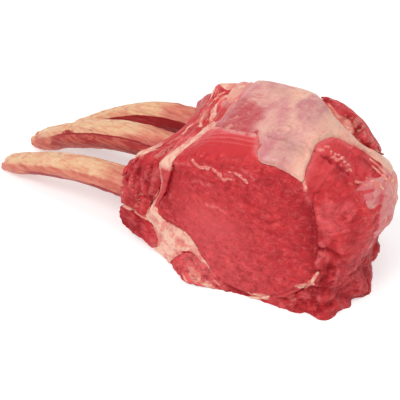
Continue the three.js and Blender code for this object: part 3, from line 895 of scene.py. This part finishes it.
def cap_muscle():
    s = uneven_copy("cap_muscle", 5)
    p, cut = s.start, s.face
    folds = ridged(p, (10, 22, 10), 22) * (0.5 + 0.5 * cut)
    streaks = strands(s, CAP_STREAKS, 1.2, 0.9, 29) * dappled(p, (6, 12, 6), 30, -0.8, -0.2)
    patch = fat_patch(s)
    x, y = s.wavy(3, 123)[:2]
    s.move(0.7 * layered(p, (6, 14, 6), 21) - 1.1 * folds + 0.9 * streaks + 0.8 * patch)
    s.move(shoulder(s), s.outward)
    lumps = strands(s, CAP_LUMPS, 1.4, 0.9, 33)
    creases = strands(s, CAP_CREASES, 1.3, 0.8, 34)
    s.move(0.8 * lumps - 1.3 * creases)
    top = ease(s.depth, 18, 30) * (1 - s.behind)
    exit_side = ease(s.x, -45, -50) * ease(s.z, 40, 34) * ease(s.depth, 14, 6)
    seam = ease(s.gap("seam_fat"), 1.8, 0.3) * ease(s.depth, 34, 24)
    pale_end = mound(p, (-24, 87, 78), (9, 7, 7)) + 0.35 * noise(p, 5, 35)
    tail = ease(s.gap("tail_fat") + 0.8 * noise(p, 4, 36), 3.4, 1.8) * bell(s.depth, 9, 7)
    s.paint(
        pale=0.5 * dappled(p, (5, 12, 5), 24, 0.1, 0.6) + 0.85 * lumps + 0.7 * cut * ease(s.x, -45, -49)
        + 0.45 * top * dappled(p, (4, 16, 4), 31, -0.3, 0.3),
        bright=0.6 * dappled(p, 9, 27, 0.0, 0.5)
        + 0.8 * cut * (ease(s.x, -36, -42) * ease(s.z, 36, 42) + ease(s.z, 38, 33)),
        # Painted shade in the folds and the creases.
        dark=0.6 * folds + 0.15 * cut * ease(s.z, 44, 30) + creases,
        streaks=0.45 * (1 - cut) * ease(s.z, 50, 56),
        skin=0.85 * top * ease(x, -20, -14) * ease(y, 62, 68),
        fat=0.7 * exit_side * dappled(p, (4, 4, 2.2), 28, 0.0, 0.4) + 0.65 * seam + 0.85 * streaks
        + patch + 0.95 * ease(pale_end, 0.3, 0.6) + 0.8 * tail,
        specks=0.75 * cut * dappled(p, 7, 26, 0.1, 0.4),
    )
    finish_piece(s, raw_muscle())


def flap_muscle():
    s = uneven_copy("flap_muscle", 6)
    p = s.start
    folds = ridged(p, (14, 18, 6), 31)
    strips = noise(s.slanted(0.35, 0), (11, 9, 1.9), 37)
    s.move(0.8 * layered(p, (10, 10, 5), 32) - 0.8 * folds + 0.4 * strips)
    top = ease(s.gap("cap_muscle"), 2.2, 0.5) * s.face
    s.paint(
        pale=0.5 * ease(strips, 0.25, 0.7) + 0.3 * dappled(p, (8, 8, 3), 34, 0.2, 0.6)
        + 0.6 * ease(s.x, -26, -20) * ease(s.z, 16, 10),
        bright=ease(s.x, -34, -26) * ease(s.z, 24, 16),
        # The flap's own dark tone, with painted shade in its folds.
        dark=(0.7 + 0.3 * folds + 0.5 * ease(strips, -0.1, -0.5)) * (1 - 0.8 * ease(s.x, -34, -26)),
        fat=0.62 * top * dappled(p, 5, 35, -0.5, 0.0) + 0.6 * ease(s.gap("seam_fat"), 1.5, 0.3),
    )
    finish_piece(s, raw_muscle())


def under_meat():
    s = uneven_copy("under_meat", 6)
    p = s.start
    folds = ridged(p, (10, 20, 8), 42)
    marbling = noise(s.slanted(0.45, 0), (4, 6, 1.7), 43)
    s.move(6.0 * bell(s.x, 13, 13) * bell(s.z, 0, 8) * ease(s.depth, 8, 1), s.outward)
    s.move(0.9 * layered(p, 8, 41) - 0.7 * folds + 0.4 * marbling)
    front = ease(s.depth, 10, 4)
    rosy = bell(s.x, 18, 17) * front
    s.paint(
        pale=rosy * (0.92 + 0.25 * ease(marbling, 0.0, 0.4)),
        bright=ease(s.x, 36, 28),
        # Painted shade in the folds and along the bottom edge where it meets the floor; darker towards the
        # right.
        dark=0.4 * folds * (1 - rosy) + 0.6 * ease(s.x, 30, 36) + 0.9 * ease(s.z, 1.2, 0.4)
        + 0.5 * rosy * ease(marbling, -0.3, -0.6),
        fat=0.9 * bell(s.x, 18, 16) * bell(s.z, 4, 7) * front * ease(marbling, -0.1, 0.3),
        specks=0.8 * rosy * s.face,
    )
    finish_piece(s, raw_muscle())


def chine_muscle():
    s = fine_copy("chine_muscle", 5, grain="grain")
    p, torn, eye = s.start, torn_share(s), s.gap("eye_muscle")
    edge = strands(s, (WINDOW_EDGE,), 1.1, 1.0, 53)
    split, tip, wet = window_split(s), tip_seam(s), threads(s)
    y, z = s.wavy(14, 126)[1:]
    sinew = strands(s, SINEWS, 1.25, 0.9, 112) * dappled(p, 5, 114, -0.8, -0.3)
    curls = strands(s, CURLS, 1.1, 0.6, 58)
    creases = strands(s, CHINE_CREASES, 1.5, 0.8, 59)
    hook = np.maximum(vein(s), strands(s, (VEIN_HOOK,), 0.7, 0.3, 63))
    fibres = 0.65 * noise(p, (4.2, 6, 4.2), 57) + 0.5 * noise(p, 2.1, 62)
    rough = 0.3 + 0.7 * torn
    closing = fill(eye, 0.75 + 0.25 * (1 - s.face))
    s.move(shared_relief(s) - 0.3 * edge - 1.2 * split + 0.5 * wet + closing, s.outward)
    s.move(0.9 * curls + 0.5 * sinew + 0.8 * hook - 1.6 * creases + 0.95 * rough * fibres)
    sinews = noise(s.slanted(0, 0.25), (8, 13, 2.6), 111)
    knob = ease(y, 38, 48) * ease(z, 34, 44) * ease(s.x, 80, 90) * (1 - s.behind)
    bulge = knob * (ease(s.y, 50, 62) + 0.35 * sinews)
    s.move(bulge + 2.4 * mound(p, (98, 58, 45), (8, 9, 5)), s.outward)

    window = (1 - s.face) * (1 - torn)
    gloom = 0.5 * bell(s.y, 43, 4) * ease(s.z, 66, 74)
    gloom += 0.6 * ease(s.y, 58, 66) * ease(s.z, 64, 69) * dappled(p, (6, 9, 3), 115, -0.3, 0.3)
    s.paint(
        pale=0.4 * dappled(p, 8, 54, 0.0, 0.5) * (1 - torn) + 0.8 * curls + 0.9 * tip
        + 0.7 * rough * ease(fibres, 0.15, 0.6) + 0.8 * knob * ease(sinews, -0.1, 0.5)
        + 0.35 * window * bell(s.y, 49, 7) * ease(s.x, 84, 74),
        bright=0.75 * (1 - torn) * ease(s.z, 30, 50) * dappled(p, (12, 10, 12), 64, -0.5, 0.3)
        + 0.8 * torn * dappled(p, 9, 60, -0.3, 0.3),
        # Painted shade in the crags of the torn corner, the creases, the split and beside the seam with the
        # eye, with the muscle's own darker fibres and patches.
        dark=torn * (0.28 + 0.6 * ease(crag_ridges(p), 0.3, 0.9)) + split + creases
        + 0.9 * rough * ease(fibres, -0.1, -0.5) + window * gloom
        + 0.4 * ease(eye, 2.0, 0.3) * s.face * ease(s.z, 60, 52),
        skin=0.85 * knob * ease(sinews, -0.95, -0.3),
        fat=0.45 * edge + 1.1 * sinew + 1.3 * hook + 0.7 * tip * ease(s.z, 71, 76)
        + 0.75 * knob * ease(y, 55, 65) * ease(z, 60, 48),
        torn=torn,
        soft=0.2 * (1 - s.face) * ease(s.z, 60, 66),
        # Highlights painted on the glint threads.
        wet=wet,
        specks=0.5 * torn * dappled(p, 8, 55, 0.2, 0.5),
    )
    finish_piece(s, raw_muscle())


def seam_meat(s):
    """Where the meat breaks through the fat."""
    if s.node == "chine_seam":
        return ease(s.x, 57, 61) * (1 - vein(s))
    if s.node == "tail_fat":
        deep = s.depth + 3 * noise(s.points, 5, 129)
        return 0.05 + 0.8 * ease(deep, 4, 1.5) + 0.55 * ease(deep, 14, 26)
    p = s.points
    eye = 0.5 * ease(s.gap("eye_muscle"), 1.2, 0.2)
    spots = 0.35 * dappled(p, (6, 8, 5), 67, 0.25, 0.6) * ease(s.z, 45, 35)
    beside = 0.6 * ease(s.y, 49, 54) * ease(s.y, 70, 62)
    narrow = ease(s.gap("cap_muscle") + noise(p, (4, 6, 4), 68), 0.9, 2.4)
    narrow *= 0.9 * ease(s.z, 30, 36) * ease(s.z, 62, 56)
    return np.max((eye, narrow, spots, beside), axis=0)


def seam_rosy(s):
    """Where the fat is mauve, as the skin beside it, or mottled pink."""
    if s.node != "seam_fat":
        return 0.8 * ease(s.depth, 12, 20) * (1 - s.behind)
    deep = ease(s.depth, 34, 42) * (1 - 0.6 * ease(s.y, 66, 74)) * (1 - fat_patch(s)) * (1 - s.behind)
    mottled = 0.6 * dappled(s.points, (5, 8, 4), 70, 0.0, 0.5) * ease(s.z, 34, 24)
    beside = 0.95 * ease(s.z, 33, 38) * ease(s.z, 62, 58) * ease(s.depth, 6, 3)
    return np.max((deep, mottled, beside), axis=0)


def seams():
    material = soft_fat()
    for seed, (node, smoothing, coarser) in enumerate(SEAMS):
        s = uneven_copy(node, smoothing, coarser)
        s.move(0.5 * layered(s.start, (6, 9, 6), 61 + seed) + 0.15 * noise(s.start, 2.4, 64 + seed))
        if node == "seam_fat":
            s.move(fill(s.gap("eye_muscle"), 0.4) + fill(s.gap("under_meat"), 0.4), s.outward)
        s.move(shoulder(s), s.outward)
        spur = strands(s, (RED_SPUR,), 1.1, 0.3, 69) * (node == "seam_fat")
        s.move(-0.8 * spur)
        s.paint(meat=seam_meat(s) + spur, rosy=seam_rosy(s))
        finish_piece(s, material)


def fat_cover():
    s = fine_copy("fat_cover", 6, 0.85)
    p, edge = s.start, s.rim_distance()
    at_rim = ease(s.depth, 5, 2.5)
    sunk = ease(edge + 0.6 * noise(p, 5, 73), 3.2, 0.2) * (1 - 0.6 * at_rim)
    s.move(0.4 * layered(p, (12, 20, 12), 71) + 0.12 * noise(p, (3, 12, 3), 72) - 1.7 * sunk, s.outward)
    x, y = s.wavy(5, 130)[:2]
    red_side = 1.1 * ease(x, 27, 6) * ease(y, 74, 52)
    front = ease(x, 32, 16) * ease(y, 48, 40)
    folds = strands(s, COVER_FOLDS, 1.3, 0.8, 78)
    from_curl = np.linalg.norm(p - CURL_MIDDLE, axis=1) + 0.8 * noise(p, 6, 77)
    curl = ease(np.sin(2 * math.pi * from_curl / ARC_SPACING), 0.0, 0.8) * ease(from_curl, 10, 7)
    band = bell(line_distance(p, COVER_BAND, s.outward) + 0.9 * noise(p, (6, 4, 6), 75), 0, 2.0)
    cream = 0.8 * bell(s.x + 0.34 * (s.y - 42) + 2 * noise(p, 10, 74), 42, 5) * ease(s.y, 37, 46)
    cream += ease(s.x + 0.12 * s.y, 53, 64) + 0.55 * ease(s.y, 70, 84)
    near_rim = 0.8 * ease(edge, 1.6, 0.6) * at_rim
    end = ease(s.x, 78, 84) * ease(s.y, 66, 74)
    s.move(-1.6 * end - 0.6 * folds, s.outward)
    s.paint(
        meat=np.maximum(red_side, front),
        shade=0.65 * bell(s.x, 49, 8) * ease(s.y, 44, 36)
        + 0.65 * bell(s.x + 2 * noise(p, 9, 79), 51, 11) * ease(s.y, 48, 62) + 0.5 * curl + 0.6 * folds
        + 0.3 * ease(s.x, 40, 48) * ease(s.y, 68, 74)
        + 0.35 * dappled(p, (16, 5, 16), 81, -0.1, 0.4) * ease(s.y, 62, 76) * ease(s.x, 50, 40),
        cream=np.max((0.75 * cream, near_rim, 0.2 * band * ease(s.x, 8, -6)), axis=0),
        bare=0.55 * ease(edge + 1.5 * noise(p, (7, 4, 7), 76), 2.4, 0.2) * ease(s.x, 50, 40)
        * ease(s.y, 60, 50) * ease(s.depth, 4, 8),
    )
    finish_piece(s, wet_silverskin())


def outer_strip():
    s = fine_copy("outer_strip", 5, 0.85)
    p = s.start
    folds = ridged(p, (8, 10, 8), 81)
    end = ease(s.x + 1.5 * noise(p, 4, 86), 77, 81)
    past_fold = s.y - 79.2 - 6.5 * ease(s.x, 56, 42)
    inner = ease(past_fold + 1.2 * noise(p, 4, 87), 0.6, -1.0)
    thick = 3.3 * bell(s.x, 66, 11) * (1 - inner)
    s.move(0.5 * layered(p, 6, 82) - 0.5 * folds - 0.2 + thick - 2.2 * end)
    s.move(-1.2 * inner, s.outward)
    low = ease(s.x, 62, 69)
    s.paint(
        pale=0.6 * dappled(p, (9, 9, 4), 83, 0.0, 0.4),
        bright=0.55 + 0.4 * dappled(p, 8, 85, 0.0, 0.5),
        # Painted shade in the folds and in the crease just past the fold.
        dark=0.45 * folds + 0.6 * bell(past_fold, 1.2, 1.4) + 0.6 * inner * low,
        fat=end + inner * (1 - 0.65 * low),
        streaks=0.45 * dappled(p, 6, 84, 0.0, 0.4),
        specks=0.6 * dappled(p, 6, 84, 0.1, 0.4),
    )
    finish_piece(s, raw_muscle())


def ribs():
    material = scraped_bone()
    for seed, (node, bare) in enumerate(RIBS):
        s = fine_copy(node, 8)
        p = s.start
        facing = s.normals @ np.array(RIB_FACING)
        border = facing + 0.1 * noise(p, (30, 6, 6), 91 + seed)
        near_side = ease(-s.normals[:, 1], -0.2, 0.1)
        red = ease(border, bare + 0.12, bare - 0.12) * near_side * ease(s.x, -162, -150)
        tip = ease(s.x, -150, -168)
        rough_end = np.maximum(tip, ease(s.x, -78, -58))
        grooves = ridged(p, (40, 5, 5), 100 + seed)
        lumps = layered(p, (22, 6, 6), 94 + seed) + rough_end * layered(p, (6, 5, 5), 103 + seed)
        taper = 2.0 * ease(s.x, -158, -172) * (node == "rib_1")
        s.move(np.full(len(p), -1.6 if node == "rib_3" else -1.1), np.array((0, 0, 1.0)))
        s.move(0.6 * lumps + 0.15 * noise(p, (8, 2, 2), 97 + seed) - 0.35 * red - 0.35 * grooves - taper)
        s.move(tip * (1.1 * noise(p, (4.5, 4, 4), 106 + seed) + 0.5 * noise(p, 2, 109 + seed)))
        flush = 0.8 * ease(facing, 0.45 if node == "rib_2" else 0.25, -0.5)
        flush += 0.6 * ease(s.x, -80, -58) + 0.5 * tip * dappled(p, 5, 112, -0.3, 0.3) + 0.25 * grooves
        # A dark red line along the crease where the membrane begins: painted shade.
        line = bell(border, bare, 0.12) * near_side * ease(s.x, -150, -125)
        s.paint(
            red=red * (0.75 + 0.25 * ease(s.x, -130, -110)) * ease(s.x, -150, -138),
            flush=flush + 0.12 * (node == "rib_3"),
            # Rib_3's membrane is darker where it faces the gap to rib_2: painted shade.
            crease=line * (0.8 if node == "rib_1" else 1.3) + 0.65 * red * (node == "rib_3"),
        )
        finish_piece(s, material)


def aimed(context, data, place, back):
    """Puts a light or the camera in its place. Back is the way that it looks away from."""
    obj = bpy.data.objects.new(data.name, data)
    obj.location = place
    obj.rotation_mode = "QUATERNION"
    obj.rotation_quaternion = back.to_track_quat("Z", "Y")
    context.collection.objects.link(obj)
    return obj


def studio(context):
    form = bmesh.new()
    bmesh.ops.create_grid(form, x_segments=1, y_segments=1, size=FLOOR_REACH)
    mesh = bpy.data.meshes.new("floor")
    form.to_mesh(mesh)
    form.free()
    floor = bpy.data.objects.new("floor", mesh)
    context.collection.objects.link(floor)
    n = Nodes("studio_floor")
    cloth = n.spots(40, 2)
    colour = linear(context.scene.rack_colours.floor)
    n.colour = n.tint(colour, [0.985 * c for c in colour[:3]] + [1], cloth, 0.2, 0.8)
    material = n.surface(n.between(cloth, 0.75, 0.85), n.bump(cloth, 0.05), glow=FLOOR_GLOW)
    mesh.materials.append(material)
    for name, place, size, power in LIGHTS:
        data = bpy.data.lights.new(name, "AREA")
        data.shape = "DISK"
        data.size = size
        data.energy = power
        aimed(context, data, place, Vector(place))
    world = context.scene.world or bpy.data.worlds.new("studio")
    context.scene.world = world
    world.use_nodes = True
    background = world.node_tree.nodes.get("Background")
    if background is None:
        raise RuntimeError("the world has no background")
    background.inputs["Color"].default_value = (1, 1, 1, 1)
    background.inputs["Strength"].default_value = SKY_STRENGTH
    context.scene.view_settings.view_transform = "Standard"
    turn, height = math.radians(CAMERA_TURN), math.radians(CAMERA_HEIGHT)
    level = math.cos(height)
    back = Vector((math.sin(turn) * level, -math.cos(turn) * level, math.sin(height)))
    data = bpy.data.cameras.new("camera")
    data.lens = 60
    data.sensor_width = 36
    data.clip_start = 0.01
    context.scene.camera = aimed(context, data, Vector(CAMERA_TARGET) + back * CAMERA_DISTANCE, back)


# ---- The operators and their panel ----


class RACK_OT_eye_muscle(bpy.types.Operator):
    """The round eye muscle, with its grained face and the threads along its rim that carry painted
    highlights
    """

    bl_idname = "rack.eye_muscle"
    bl_label = "Eye Muscle"

    def execute(self, context):
        eye_muscle()
        return {"FINISHED"}


class RACK_OT_bone_side(bpy.types.Operator):
    """The muscles round the bones: the cap, the flap and the meat under the eye muscle"""

    bl_idname = "rack.bone_side"
    bl_label = "Bone Side Muscles"

    def execute(self, context):
        cap_muscle()
        flap_muscle()
        under_meat()
        return {"FINISHED"}


class RACK_OT_chine_muscle(bpy.types.Operator):
    """The muscle on the chine side: ragged below, bare on top, with silverskin at the back"""

    bl_idname = "rack.chine_muscle"
    bl_label = "Chine Muscle"

    def execute(self, context):
        chine_muscle()
        return {"FINISHED"}


class RACK_OT_seams(bpy.types.Operator):
    """The seams of fat between the muscles"""

    bl_idname = "rack.seams"
    bl_label = "Seams of Fat"

    def execute(self, context):
        seams()
        return {"FINISHED"}


class RACK_OT_fat_cover(bpy.types.Operator):
    """The silverskin cover over the eye muscle"""

    bl_idname = "rack.fat_cover"
    bl_label = "Silverskin Cover"

    def execute(self, context):
        fat_cover()
        return {"FINISHED"}


class RACK_OT_outer_strip(bpy.types.Operator):
    """The leaf of dark meat over the far shoulder"""

    bl_idname = "rack.outer_strip"
    bl_label = "Outer Strip"

    def execute(self, context):
        outer_strip()
        return {"FINISHED"}


class RACK_OT_ribs(bpy.types.Operator):
    """The scraped ribs"""

    bl_idname = "rack.ribs"
    bl_label = "Ribs"

    def execute(self, context):
        ribs()
        return {"FINISHED"}


class RACK_OT_stage(bpy.types.Operator):
    """A pale studio floor, soft lights and the camera"""

    bl_idname = "rack.stage"
    bl_label = "Studio"

    def execute(self, context):
        studio(context)
        return {"FINISHED"}


class RACK_PT_panel(bpy.types.Panel):
    """Builds the rack, piece by piece"""

    bl_idname = "RACK_PT_panel"
    bl_label = "Rack of Veal"
    bl_space_type = "VIEW_3D"
    bl_region_type = "UI"
    bl_category = "Rack of Veal"

    def draw(self, context):
        for group in (context.scene.rack_sizes, context.scene.rack_colours):
            for name in group.bl_rna.properties.keys():
                if name not in ("rna_type", "name"):
                    self.layout.prop(group, name)
        for operator in OPERATORS:
            self.layout.operator(operator.bl_idname)


OPERATORS = (
    RACK_OT_eye_muscle,
    RACK_OT_bone_side,
    RACK_OT_chine_muscle,
    RACK_OT_seams,
    RACK_OT_fat_cover,
    RACK_OT_outer_strip,
    RACK_OT_ribs,
    RACK_OT_stage,
)
CLASSES = (RackSizes, RackColours, *OPERATORS, RACK_PT_panel)


def register():
    for cls in CLASSES:
        bpy.utils.register_class(cls)
    bpy.types.Scene.rack_sizes = PointerProperty(type=RackSizes)
    bpy.types.Scene.rack_colours = PointerProperty(type=RackColours)


def unregister():
    del bpy.types.Scene.rack_colours
    del bpy.types.Scene.rack_sizes
    for cls in reversed(CLASSES):
        bpy.utils.unregister_class(cls)


def main():
    register()
    bpy.ops.rack.eye_muscle()
    bpy.ops.rack.bone_side()
    bpy.ops.rack.chine_muscle()
    bpy.ops.rack.seams()
    bpy.ops.rack.fat_cover()
    bpy.ops.rack.outer_strip()
    bpy.ops.rack.ribs()
    bpy.ops.rack.stage()


if __name__ == "__main__":
    main()
